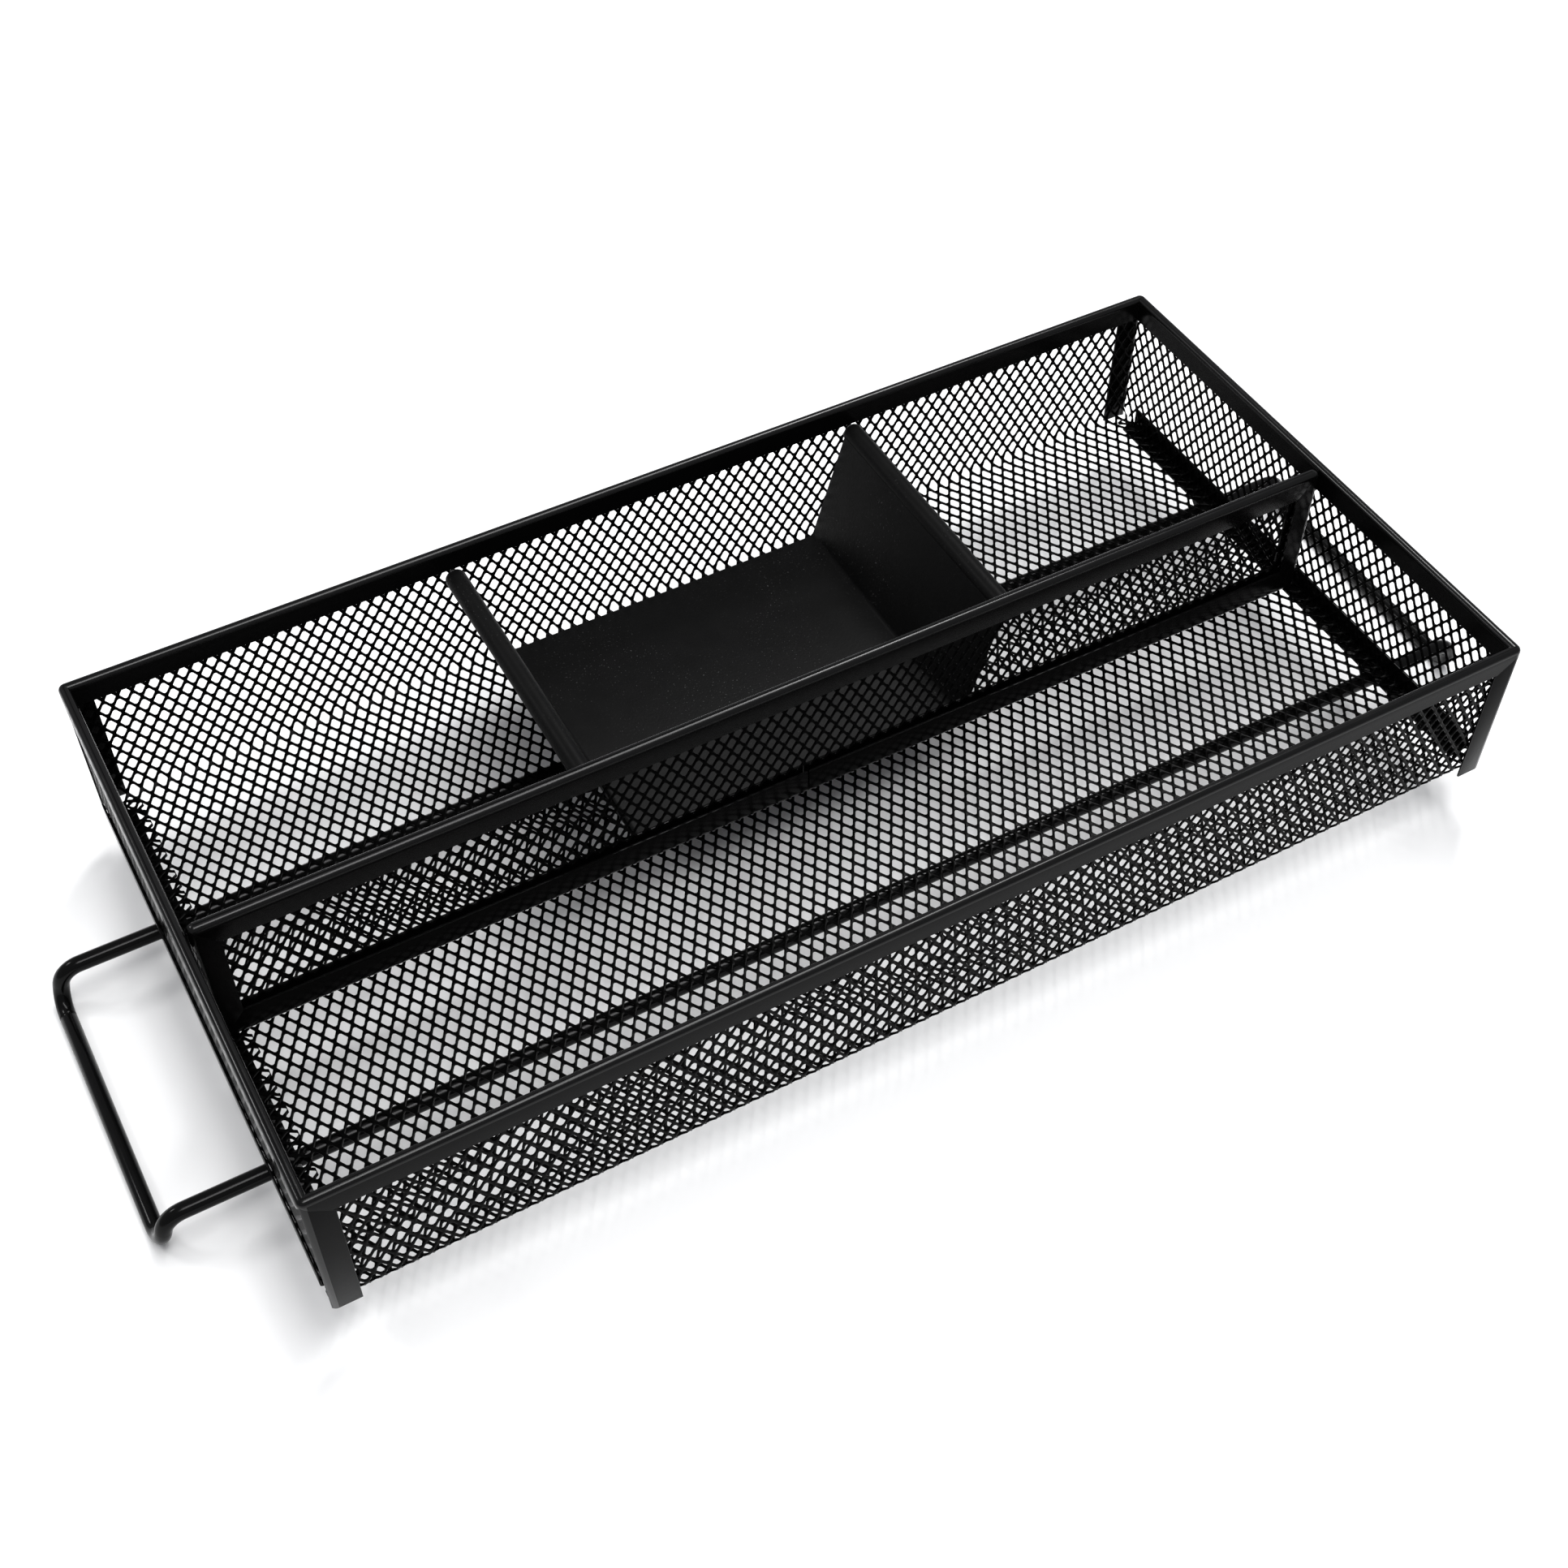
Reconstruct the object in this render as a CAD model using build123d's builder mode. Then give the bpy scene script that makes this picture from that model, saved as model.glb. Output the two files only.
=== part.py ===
"""Black steel mesh desk tray with a long divider, a loose sheet-steel insert and a wire base.

X runs along the length of the tray (left to right), Y across it (front to back), Z is up.
The origin is under the middle of the tray, on the surface that the wire base stands on.
All sizes are in millimetres.
"""
from build123d import *
import math
import os

os.makedirs("parts", exist_ok=True)

# ---------------------------------------------------------------- driving dimensions
tray_length = 350.0  # outside of the tray, left end to right end
tray_width = 178.0  # outside of the tray, front to back
tray_height = 49.0  # underside of the end strips to the top of the rim

strip_sheet = 0.6  # sheet of the rim, posts and end strips
mesh_sheet = 1.0  # expanded metal, measured over its strands
bend_radius = 4.0  # outside of the bend between the floor and a long wall
corner_radius = 2.0  # outside of the upright corners, seen from above

rim_width = 3.0  # over both flanges of the folded rim
rim_outer_flange = 7.5
rim_inner_flange = 7.0
rim_fold_radius = 1.4
rim_web = 0.9  # steel between the top of the rim and the edge of the mesh inside it

post_side_leg = 8.0  # leg of a corner post on a long wall
post_end_leg = 7.0  # leg of a corner post on an end wall
mitre_gap = 0.15  # slit between a post and the flanges of the rim
fold_share = 0.95  # most of a wall's half thickness that the round on its edge may take

end_strip_height = 7.0
end_strip_floor_leg = {"left": 8.0, "right": 5.0}
mesh_flange = {"left": 10.5, "right": 6.0}  # end mesh folded over the floor, from the outside

divider_y = -4.5  # middle plane of the long divider
divider_thickness = 3.4
divider_sheet = 0.6
divider_top_rail = 8.0
divider_bottom_rail = 9.0
divider_post = 7.0
divider_corner_radius = 2.0
divider_fold_radius = 1.6
divider_seam = 0.5  # gap where the two ends of the bottom rail meet
divider_seam_x = 0.7

insert_x = 2.2  # middle of the insert at rest
insert_base = 102.6  # floor of the insert between its cross walls
insert_sheet = 0.8
insert_lean = 16.7  # degrees that each cross wall leans outwards
insert_bend_radius = 2.0  # inside of the bend from floor to cross wall
hem_diameter = 6.2  # rolled hem along the top of a cross wall
hem_end_radius = 2.0
insert_lift = 0.3  # free height between the insert and the mesh under it
insert_gap = 0.4  # free gap to the divider, to the back wall and at the end of its travel

wire_diameter = 4.5
wire_spacing = 84.3  # between the middles of the two long wires
wire_y = -2.7  # middle between the two long wires
handle_reach = 29.5  # end of the tray to the middle of a crossbar
handle_drop = 10.9  # middle of a long wire down to the middle of a crossbar
handle_slant = 3.0  # how far the wire runs outwards while it drops
wire_bend_radius = 6.3  # along the middle of the wire

weld_length = 5.0
weld_width = 1.6

# ---------------------------------------------------------------- derived places
wire_radius = wire_diameter / 2
crossbar_z = wire_radius
wire_z = crossbar_z + handle_drop
floor_z = wire_z + wire_radius
rim_z = floor_z + tray_height
mesh_top = rim_z - rim_web
mesh_inset = strip_sheet + mesh_sheet
mesh_floor_top = floor_z + mesh_inset
end_inner_x = tray_length / 2 - mesh_inset
end_side = {"left": -1, "right": 1}
long_side = {"front": -1, "back": 1}


# ---------------------------------------------------------------- shared outlines
def tray_section(inset, top, x):
    """Outline of the tray across its width, with the two floor bends."""
    half = tray_width / 2 - inset
    bottom = floor_z + inset
    with BuildSketch(Plane.YZ.offset(x)) as section:
        with BuildLine():
            Polyline((-half, top), (-half, bottom), (half, bottom), (half, top), close=True)
        make_face()
        fillet(section.vertices().group_by(Axis.Y)[0], bend_radius - inset)
    return section.sketch


def tray_envelope(inset):
    """The tray as a block, shrunk by inset on every side but the top."""
    half = tray_length / 2 - inset
    with BuildPart() as block:
        extrude(tray_section(inset, rim_z + 1, -half), amount=2 * half)
        with BuildSketch(Plane.XY.offset(floor_z)):
            RectangleRounded(tray_length - 2 * inset, tray_width - 2 * inset, corner_radius - inset)
        extrude(amount=tray_height, mode=Mode.INTERSECT)
    return block.part


def finish(piece, name):
    """Name a finished piece and write its file."""
    piece.part.label = name
    export_step(piece.part, f"parts/{name}.step")
    print(f"{name}: {piece.part.volume:.0f} mm3")


outer_block = tray_envelope(0)
inner_block = tray_envelope(strip_sheet)

# ---------------------------------------------------------------- mesh trough: front, floor, back
with BuildPart() as mesh_trough:
    add(inner_block)
    inside_section = tray_section(mesh_inset, rim_z + 1, -tray_length / 2)
    extrude(inside_section, amount=tray_length, mode=Mode.SUBTRACT)
    with BuildSketch(Plane.XY.offset(mesh_top)):
        Rectangle(tray_length, tray_width)
    extrude(amount=tray_height, mode=Mode.SUBTRACT)
finish(mesh_trough, "mesh_trough")

# ---------------------------------------------------------------- end meshes with a floor flange
for end, side in end_side.items():
    outer_x = side * (tray_length / 2 - strip_sheet)
    with BuildPart() as end_mesh:
        extrude(tray_section(mesh_inset, mesh_top, outer_x), amount=-side * mesh_sheet)
        flange = mesh_flange[end] - strip_sheet
        with BuildSketch(Plane.XY.offset(mesh_floor_top)):
            with Locations((outer_x - side * flange / 2, 0)):
                Rectangle(flange, tray_width - 2 * bend_radius)
        extrude(amount=mesh_sheet)
        add(inner_block, mode=Mode.INTERSECT)
    finish(end_mesh, f"end_mesh_{end}")

# ---------------------------------------------------------------- corner posts
def corner_post(side_x, side_y, grow):
    """Angle strip round one corner, mitred under the rim; grow makes the cutter for the rim."""
    corner_x = side_x * tray_length / 2
    corner_y = side_y * tray_width / 2
    side_leg = post_side_leg + grow
    end_leg = post_end_leg + grow
    high = rim_z + 1
    with BuildPart() as post:
        add(outer_block)
        add(inner_block, mode=Mode.SUBTRACT)
        with BuildSketch(Plane.XY.offset(floor_z + strip_sheet)):
            with Locations((corner_x, corner_y)):
                Rectangle(2 * side_leg, 2 * end_leg)
        extrude(amount=tray_height, mode=Mode.INTERSECT)
        for plane, corner, side, leg in (
            (Plane.XZ, corner_x, side_x, side_leg),
            (Plane.YZ, corner_y, side_y, end_leg),
        ):
            mitre_high = rim_z - rim_fold_radius - mitre_gap + grow
            mitre_low = rim_z - rim_outer_flange - mitre_gap + grow
            with BuildSketch(plane):
                with BuildLine():
                    Polyline(
                        (corner + side, high),
                        (corner + side, mitre_high),
                        (corner, mitre_high),
                        (corner - side * leg, mitre_low),
                        (corner - side * leg, high),
                        close=True,
                    )
                make_face()
            extrude(amount=tray_length, both=True, mode=Mode.SUBTRACT)
    return post


for end, side_x in end_side.items():
    for long, side_y in long_side.items():
        finish(corner_post(side_x, side_y, 0), f"corner_post_{long}_{end}")

# ---------------------------------------------------------------- rim, cut into four at its mitres
with BuildPart() as rim_ring:
    with BuildSketch(Plane.XY.offset(rim_z)):
        RectangleRounded(tray_length, tray_width, corner_radius)
        Rectangle(
            tray_length - 2 * rim_width, tray_width - 2 * rim_width, mode=Mode.SUBTRACT
        )
    extrude(amount=-rim_outer_flange)
    rim_round = min(rim_fold_radius, fold_share * rim_width / 2)
    fillet(rim_ring.edges().group_by(Axis.Z)[-1], rim_round)
    hollow = rim_width - strip_sheet
    with BuildSketch(Plane.XY.offset(rim_z - rim_outer_flange)):
        RectangleRounded(
            tray_length - 2 * strip_sheet,
            tray_width - 2 * strip_sheet,
            corner_radius - strip_sheet,
        )
        Rectangle(tray_length - 2 * hollow, tray_width - 2 * hollow, mode=Mode.SUBTRACT)
    extrude(amount=rim_outer_flange - rim_web, mode=Mode.SUBTRACT)
    with BuildSketch(Plane.XY.offset(rim_z - rim_outer_flange)):
        Rectangle(tray_length - 2 * hollow, tray_width - 2 * hollow)
    extrude(amount=rim_outer_flange - rim_inner_flange, mode=Mode.SUBTRACT)
    for side_x in end_side.values():
        for side_y in long_side.values():
            add(corner_post(side_x, side_y, mitre_gap).part, mode=Mode.SUBTRACT)


def rim_piece(points):
    """The stretch of the rim inside an outline seen from above."""
    with BuildPart() as piece:
        add(rim_ring.part)
        with BuildSketch(Plane.XY.offset(rim_z + 1)):
            with BuildLine():
                Polyline(*points, close=True)
            make_face()
        extrude(amount=-tray_height, mode=Mode.INTERSECT)
    return piece


wedge = 2 * rim_width
for long, side in long_side.items():
    half_x = tray_length / 2
    half_y = tray_width / 2
    finish(
        rim_piece(
            [
                (-half_x - 1, side * (half_y + 1)),
                (half_x + 1, side * (half_y + 1)),
                (half_x - wedge, side * (half_y - wedge)),
                (-half_x + wedge, side * (half_y - wedge)),
            ]
        ),
        f"rim_{long}",
    )
for end, side in end_side.items():
    half_x = tray_length / 2
    half_y = tray_width / 2
    finish(
        rim_piece(
            [
                (side * (half_x + 1), -half_y - 1),
                (side * (half_x + 1), half_y + 1),
                (side * (half_x - wedge), half_y - wedge),
                (side * (half_x - wedge), -half_y + wedge),
            ]
        ),
        f"rim_{end}",
    )

# ---------------------------------------------------------------- strips along the end bottom edges
for end, side in end_side.items():
    outer_x = side * tray_length / 2
    leg = end_strip_floor_leg[end]
    strip_half = tray_width / 2 - post_end_leg - mitre_gap
    with BuildPart() as end_strip:
        with BuildSketch(Plane.XZ) as profile:
            with BuildLine():
                Polyline(
                    (outer_x, floor_z + end_strip_height),
                    (outer_x, floor_z),
                    (outer_x - side * leg, floor_z),
                    (outer_x - side * leg, floor_z + strip_sheet),
                    (outer_x - side * strip_sheet, floor_z + strip_sheet),
                    (outer_x - side * strip_sheet, floor_z + end_strip_height),
                    close=True,
                )
            make_face()
            outer_corner = profile.vertices().group_by(Axis.Y)[0].sort_by(Axis.X)
            fillet(outer_corner[-1 if side > 0 else 0], strip_sheet)
        extrude(amount=strip_half, both=True)
    finish(end_strip, f"end_strip_{end}")

# ---------------------------------------------------------------- long divider
divider_half = tray_length / 2 - rim_width
divider_bottom = mesh_floor_top + mesh_sheet
divider_height = rim_z - divider_bottom
divider_middle = divider_bottom + divider_height / 2
divider_plane = Plane.XZ.offset(-divider_y)
window_x = divider_half - divider_post
window_top = rim_z - divider_top_rail
window_bottom = divider_bottom + divider_bottom_rail

with BuildPart() as divider_mesh:
    with BuildSketch(divider_plane):
        with Locations((0, divider_middle)):
            Rectangle(2 * (divider_half - divider_sheet), divider_height - 2 * divider_sheet)
    extrude(amount=mesh_sheet / 2, both=True)
finish(divider_mesh, "divider_mesh")

with BuildPart() as divider_ring:
    with BuildSketch(divider_plane):
        with Locations((0, divider_middle)):
            RectangleRounded(2 * divider_half, divider_height, divider_corner_radius)
    extrude(amount=divider_thickness / 2, both=True)
    faces_across = divider_ring.faces().sort_by(Axis.Y)
    divider_round = min(divider_fold_radius, fold_share * divider_thickness / 2)
    fillet(faces_across[0].edges() + faces_across[-1].edges(), divider_round)
    with BuildSketch(divider_plane):
        with BuildLine():
            Polyline(
                (-window_x, window_top),
                (window_x, window_top),
                (window_x, window_bottom),
                (-window_x, window_bottom),
                close=True,
            )
        make_face()
    extrude(amount=divider_thickness, both=True, mode=Mode.SUBTRACT)
    with BuildSketch(divider_plane):
        with Locations((0, divider_middle)):
            Rectangle(2 * (divider_half - divider_sheet), divider_height - 2 * divider_sheet)
    extrude(amount=divider_thickness / 2 - divider_sheet, both=True, mode=Mode.SUBTRACT)


def divider_piece(points):
    """The stretch of the divider's channel frame inside an outline seen from the front."""
    with BuildPart() as piece:
        add(divider_ring.part)
        with BuildSketch(divider_plane):
            with BuildLine():
                Polyline(*points, close=True)
            make_face()
        extrude(amount=divider_thickness, both=True, mode=Mode.INTERSECT)
    return piece


finish(
    divider_piece(
        [
            (-divider_half, rim_z),
            (divider_half, rim_z),
            (window_x, window_top),
            (-window_x, window_top),
        ]
    ),
    "divider_top_rail",
)
for end, side in end_side.items():
    finish(
        divider_piece(
            [
                (side * divider_half, rim_z),
                (side * window_x, window_top),
                (side * window_x, window_bottom),
                (side * divider_half, divider_bottom),
            ]
        ),
        f"divider_post_{end}",
    )
    seam_x = divider_seam_x + side * divider_seam / 2
    finish(
        divider_piece(
            [
                (side * divider_half, divider_bottom),
                (side * window_x, window_bottom),
                (seam_x, window_bottom),
                (seam_x, divider_bottom),
            ]
        ),
        f"divider_bottom_rail_{end}",
    )

# ---------------------------------------------------------------- loose insert
hem_radius = hem_diameter / 2
insert_bottom = mesh_floor_top + insert_lift
insert_floor_top = insert_bottom + insert_sheet
hem_top = rim_z - rim_inner_flange - 2 * insert_lift
hem_z = hem_top - hem_radius
lean = math.radians(insert_lean)
insert_front = divider_y + divider_thickness / 2 + insert_gap
insert_back = tray_width / 2 - bend_radius - insert_gap / 2
hem_back = tray_width / 2 - mesh_inset - insert_gap


def wall_x(z, inset):
    """Distance from the insert's middle to a cross wall at a height, outside for inset 0."""
    inner = insert_base / 2 + (z - insert_floor_top) * math.tan(lean)
    return inner + (insert_sheet - inset) / math.cos(lean)


hem_x = wall_x(hem_z, insert_sheet) + hem_radius / math.cos(lean)

with BuildPart() as insert:
    with BuildSketch(Plane.XZ.offset(-insert_front)) as outside:
        with BuildLine():
            Polyline(
                (insert_x - wall_x(hem_z, 0), hem_z),
                (insert_x - wall_x(insert_bottom, 0), insert_bottom),
                (insert_x + wall_x(insert_bottom, 0), insert_bottom),
                (insert_x + wall_x(hem_z, 0), hem_z),
                close=True,
            )
        make_face()
        fillet(outside.vertices().group_by(Axis.Y)[0], insert_bend_radius + insert_sheet)
    extrude(amount=insert_front - insert_back)
    with BuildSketch(Plane.XZ.offset(-insert_front)) as inside:
        with BuildLine():
            Polyline(
                (insert_x - wall_x(hem_z, insert_sheet), hem_z),
                (insert_x - wall_x(insert_floor_top, insert_sheet), insert_floor_top),
                (insert_x + wall_x(insert_floor_top, insert_sheet), insert_floor_top),
                (insert_x + wall_x(hem_z, insert_sheet), hem_z),
                close=True,
            )
        make_face()
        fillet(inside.vertices().group_by(Axis.Y)[0], insert_bend_radius)
    extrude(amount=insert_front - insert_back, mode=Mode.SUBTRACT)
    for side in end_side.values():
        with BuildSketch(Plane.XZ.offset(-insert_front)):
            with Locations((insert_x + side * hem_x, hem_z)):
                Circle(hem_radius)
        extrude(amount=insert_front - hem_back)
    hem_ends = insert.edges().filter_by(GeomType.CIRCLE).group_by(Axis.Y)
    fillet(hem_ends[-1], min(hem_end_radius, fold_share * (hem_back - insert_back)))
finish(insert, "insert")

travel_left = end_inner_x + insert_x - (hem_x + hem_radius) - insert_gap
travel_right = end_inner_x - insert_x - (hem_x + hem_radius) - insert_gap
print(f"insert travel: {travel_left:.2f} mm to the left, {travel_right:.2f} mm to the right")

# ---------------------------------------------------------------- wire base with two handles
crossbar_x = tray_length / 2 + handle_reach
drop_x = crossbar_x - handle_slant
wire_front = wire_y - wire_spacing / 2
wire_back = wire_y + wire_spacing / 2

with BuildPart() as wire_base:
    with BuildLine() as wire_path:
        FilletPolyline(
            (crossbar_x, wire_front, crossbar_z),
            (drop_x, wire_front, wire_z),
            (-drop_x, wire_front, wire_z),
            (-crossbar_x, wire_front, crossbar_z),
            (-crossbar_x, wire_back, crossbar_z),
            (-drop_x, wire_back, wire_z),
            (drop_x, wire_back, wire_z),
            (crossbar_x, wire_back, crossbar_z),
            radius=wire_bend_radius,
            close=True,
        )
    with BuildSketch(Plane(origin=wire_path.line @ 0, z_dir=wire_path.line % 0)):
        Circle(wire_radius)
    sweep(path=wire_path.line)
finish(wire_base, "wire_base")
wire_length = wire_path.wires()[0].length
wire_volume = wire_length * math.pi * wire_radius**2
print(f"wire length {wire_length:.1f} mm, section times length {wire_volume:.0f} mm3")

# ---------------------------------------------------------------- welds where the wire crosses the strips
with BuildPart() as weld_beads:
    for end, side in end_side.items():
        weld_x = side * (tray_length / 2 - end_strip_floor_leg[end] / 2)
        for y in (wire_front, wire_back):
            for edge in (-1, 1):
                with BuildSketch(Plane.YZ.offset(weld_x)):
                    with BuildLine():
                        Polyline(
                            (y + edge * wire_radius / 2, floor_z),
                            (y + edge * (wire_radius + weld_width), floor_z),
                            (y + edge * wire_radius, floor_z - weld_width),
                            (y + edge * wire_radius / 2, floor_z - weld_width),
                            close=True,
                        )
                    make_face()
                    with Locations((y, wire_z)):
                        Circle(wire_radius, mode=Mode.SUBTRACT)
                extrude(amount=min(weld_length, end_strip_floor_leg[end]) / 2, both=True)
finish(weld_beads, "weld_beads")
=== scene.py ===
# %% [markdown]
# # A black mesh desk tray
#
# This lesson builds the looks of a long, low desk tray: walls and floor of expanded metal mesh, a rim
# folded from thin sheet, a long divider, a loose sheet insert and a wire base whose ends are the handles.
# The engineering model is loaded first as a fixed frame. It gives every size and place, so nothing below is
# fitted by eye.

import math

import bmesh
import bpy
from mathutils import Matrix, Vector


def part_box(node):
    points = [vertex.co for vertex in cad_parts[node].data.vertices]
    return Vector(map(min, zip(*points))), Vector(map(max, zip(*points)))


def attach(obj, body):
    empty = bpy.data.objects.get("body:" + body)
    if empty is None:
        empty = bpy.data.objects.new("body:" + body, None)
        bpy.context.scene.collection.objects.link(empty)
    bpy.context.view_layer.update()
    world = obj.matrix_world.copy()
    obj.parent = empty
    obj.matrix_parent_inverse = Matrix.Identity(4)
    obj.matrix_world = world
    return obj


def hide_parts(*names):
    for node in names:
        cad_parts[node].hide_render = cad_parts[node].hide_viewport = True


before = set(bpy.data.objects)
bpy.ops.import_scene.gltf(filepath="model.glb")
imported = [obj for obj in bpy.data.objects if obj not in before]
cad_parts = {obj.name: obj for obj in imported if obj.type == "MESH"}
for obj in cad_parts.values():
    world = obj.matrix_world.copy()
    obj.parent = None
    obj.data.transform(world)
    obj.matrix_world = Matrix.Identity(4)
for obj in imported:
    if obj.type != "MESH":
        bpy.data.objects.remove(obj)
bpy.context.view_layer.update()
MM = 0.001


# %% [markdown]
# ## Helpers for sheet metal
#
# Almost everything here is thin sheet that was cut, folded and welded. So one small set of helpers does
# what the workshop does: draw a section, pull it along, round its folds, cut its ends at an angle and give
# it its thickness. Each helper wraps one or two bmesh operators, and every new piece is finished the same
# way: it is closed up, its faces are pointed outwards, it is shaded smooth up to an angle, and it rides on
# its body.

# %% Finish a piece: merge, face outwards, smooth, and ride on its body
SMOOTH_ANGLE = math.radians(38)
MERGE_DISTANCE = 0.004 * MM
DEGENERATE = 0.001 * MM
FIN_ROUNDS = 3  # deleting one fin can bare the next


def open_loops(edges):
    """Sort open edges into the loops that they form."""
    waiting = dict.fromkeys(edges)
    loops = []
    while waiting:
        reached = [waiting.popitem()[0]]
        for edge in reached:
            for beside in (e for v in edge.verts for e in v.link_edges):
                if beside in waiting:
                    del waiting[beside]
                    reached.append(beside)
        loops.append(reached)
    return loops


def close_up(bm):
    """Leave one closed skin: no doubles, no fins, no cracks, and every face pointing outwards."""
    bmesh.ops.remove_doubles(bm, verts=bm.verts, dist=MERGE_DISTANCE)
    bmesh.ops.dissolve_degenerate(bm, edges=bm.edges, dist=DEGENERATE)
    for _ in range(FIN_ROUNDS):
        fins = [
            f for f in bm.faces
            if any(len(e.link_faces) > 2 for e in f.edges) and any(len(e.link_faces) == 1 for e in f.edges)
        ]
        bmesh.ops.delete(bm, geom=fins, context="FACES")
    bmesh.ops.delete(bm, geom=[e for e in bm.edges if not e.link_faces], context="EDGES")
    bmesh.ops.delete(bm, geom=[v for v in bm.verts if not v.link_faces], context="VERTS")
    cracks = [e for e in bm.edges if len(e.link_faces) == 1]
    if cracks:
        bmesh.ops.holes_fill(bm, edges=cracks, sides=0)
    cracks = [e for e in bm.edges if len(e.link_faces) == 1]
    for loop in open_loops(cracks):
        bmesh.ops.contextual_create(bm, geom=loop)
    bmesh.ops.recalc_face_normals(bm, faces=bm.faces)
    if bm.calc_volume(signed=True) < 0:
        bmesh.ops.reverse_faces(bm, faces=bm.faces)
    return sum(len(e.link_faces) != 2 for e in bm.edges)


def finish_piece(bm, name, body, material, stands_for=(), sharp=SMOOTH_ANGLE):
    still_open = close_up(bm)
    for face in bm.faces:
        face.smooth = True
    for edge in bm.edges:
        edge.smooth = len(edge.link_faces) == 2 and edge.calc_face_angle(0) < sharp
    mesh = bpy.data.meshes.new(name)
    bm.to_mesh(mesh)
    bm.free()
    mesh.materials.append(material)
    piece = bpy.data.objects.new(name, mesh)
    bpy.context.scene.collection.objects.link(piece)
    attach(piece, body)
    if stands_for:
        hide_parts(*stands_for)
    triangles = sum(len(face.vertices) - 2 for face in mesh.polygons)
    print(f"{name}: {triangles} triangles, {still_open} edges don't join two faces")
    return piece


# %% Draw a section and pull it into an open sheet
LEAST_FOLD = 0.05  # radians; a flatter edge is no fold


def new_sheet(points, pull):
    """An open sheet: points joined in a row, and pulled along the vector pull."""
    bm = bmesh.new()
    row = [bm.verts.new(point) for point in points]
    edges = [bm.edges.new(pair) for pair in zip(row, row[1:])]
    pulled = bmesh.ops.extrude_edge_only(bm, edges=edges)["geom"]
    bmesh.ops.translate(bm, verts=[v for v in pulled if isinstance(v, bmesh.types.BMVert)], vec=pull)
    bmesh.ops.recalc_face_normals(bm, faces=bm.faces)
    return bm


def folds(bm):
    """The edges where two faces of the sheet meet at an angle."""
    bm.normal_update()
    return [e for e in bm.edges if len(e.link_faces) == 2 and e.calc_face_angle(0) > LEAST_FOLD]


def round_folds(bm, edges, radius, segments=6):
    bmesh.ops.bevel(
        bm, geom=edges, offset=radius, offset_type="OFFSET", affect="EDGES", segments=segments, profile=0.5,
        material=-1, clamp_overlap=True,
    )


# %% Cut, add loops and thicken
ON_PLANE = 0.0005 * MM  # points nearer to a plane than this are taken as on it


def cut(bm, point, away, faces=None):
    """Remove what lies on the away side of a plane, in the whole sheet or in some of its faces."""
    chosen = bm.faces if faces is None else faces
    geom = list(dict.fromkeys(part for face in chosen for part in (face, *face.edges, *face.verts)))
    bmesh.ops.bisect_plane(bm, geom=geom, dist=ON_PLANE, plane_co=point, plane_no=away, clear_outer=True)


def score(bm, point, normal):
    """Add a loop of vertices where a plane meets the piece."""
    geom = bm.verts[:] + bm.edges[:] + bm.faces[:]
    bmesh.ops.bisect_plane(bm, geom=geom, dist=ON_PLANE, plane_co=point, plane_no=normal)


def thicken(bm, thickness, inside):
    """Give an open sheet its thickness, towards the point inside."""
    bm.normal_update()
    middle = max(bm.faces, key=lambda face: face.calc_area())
    if middle.normal.dot(Vector(inside) - middle.calc_center_median()) > 0:
        bmesh.ops.reverse_faces(bm, faces=bm.faces)
    bmesh.ops.solidify(bm, geom=bm.faces[:], thickness=thickness)


# %% Ease the cut edges of a finished strip
EDGE_EASE = 0.09 * MM  # how much the coat rounds a cut edge
CUT_ANGLE = math.radians(50)


def ease_edges(bm, width=EDGE_EASE, segments=2):
    bmesh.ops.remove_doubles(bm, verts=bm.verts, dist=MERGE_DISTANCE)
    bm.normal_update()
    sharp = [e for e in bm.edges if len(e.link_faces) == 2 and e.calc_face_angle(0) > CUT_ANGLE]
    round_folds(bm, sharp, width, segments)


# %% [markdown]
# ## Shader maths as plain expressions
#
# A material's pattern is arithmetic on numbers that change over the surface. Math nodes drawn by hand are
# slow to read, so one small class wraps a socket and lets Python's own operators add the nodes. Any other
# node comes from its one method, make.

# %% The class that wraps a socket
class Tone:
    def __init__(self, tree, socket):
        self.tree = tree
        self.socket = socket

    def make(self, kind, settings=None, **inputs):
        node = self.tree.nodes.new(kind)
        for key, value in (settings or {}).items():
            if key == "stops":
                ramp = node.color_ramp
                while len(ramp.elements) < len(value):
                    ramp.elements.new(1.0)
                for element, (place, grey) in zip(ramp.elements, value):
                    element.position = place
                    element.color = (grey, grey, grey, 1)
            else:
                setattr(node, key, value)
        for key, value in inputs.items():
            place = int(key[1:]) if key[0] == "i" and key[1:].isdigit() else key.replace("_", " ")
            if isinstance(value, Tone):
                self.tree.links.new(value.socket, node.inputs[place])
            else:
                node.inputs[place].default_value = value
        return Tone(self.tree, node.outputs[0])

    def math(self, operation, first, second):
        return self.make("ShaderNodeMath", {"operation": operation}, i0=first, i1=second)

    def __add__(self, other):
        return self.math("ADD", self, other)

    def __radd__(self, other):
        return self.math("ADD", other, self)

    def __sub__(self, other):
        return self.math("SUBTRACT", self, other)

    def __rsub__(self, other):
        return self.math("SUBTRACT", other, self)

    def __mul__(self, other):
        return self.math("MULTIPLY", self, other)

    def __rmul__(self, other):
        return self.math("MULTIPLY", other, self)


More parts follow.
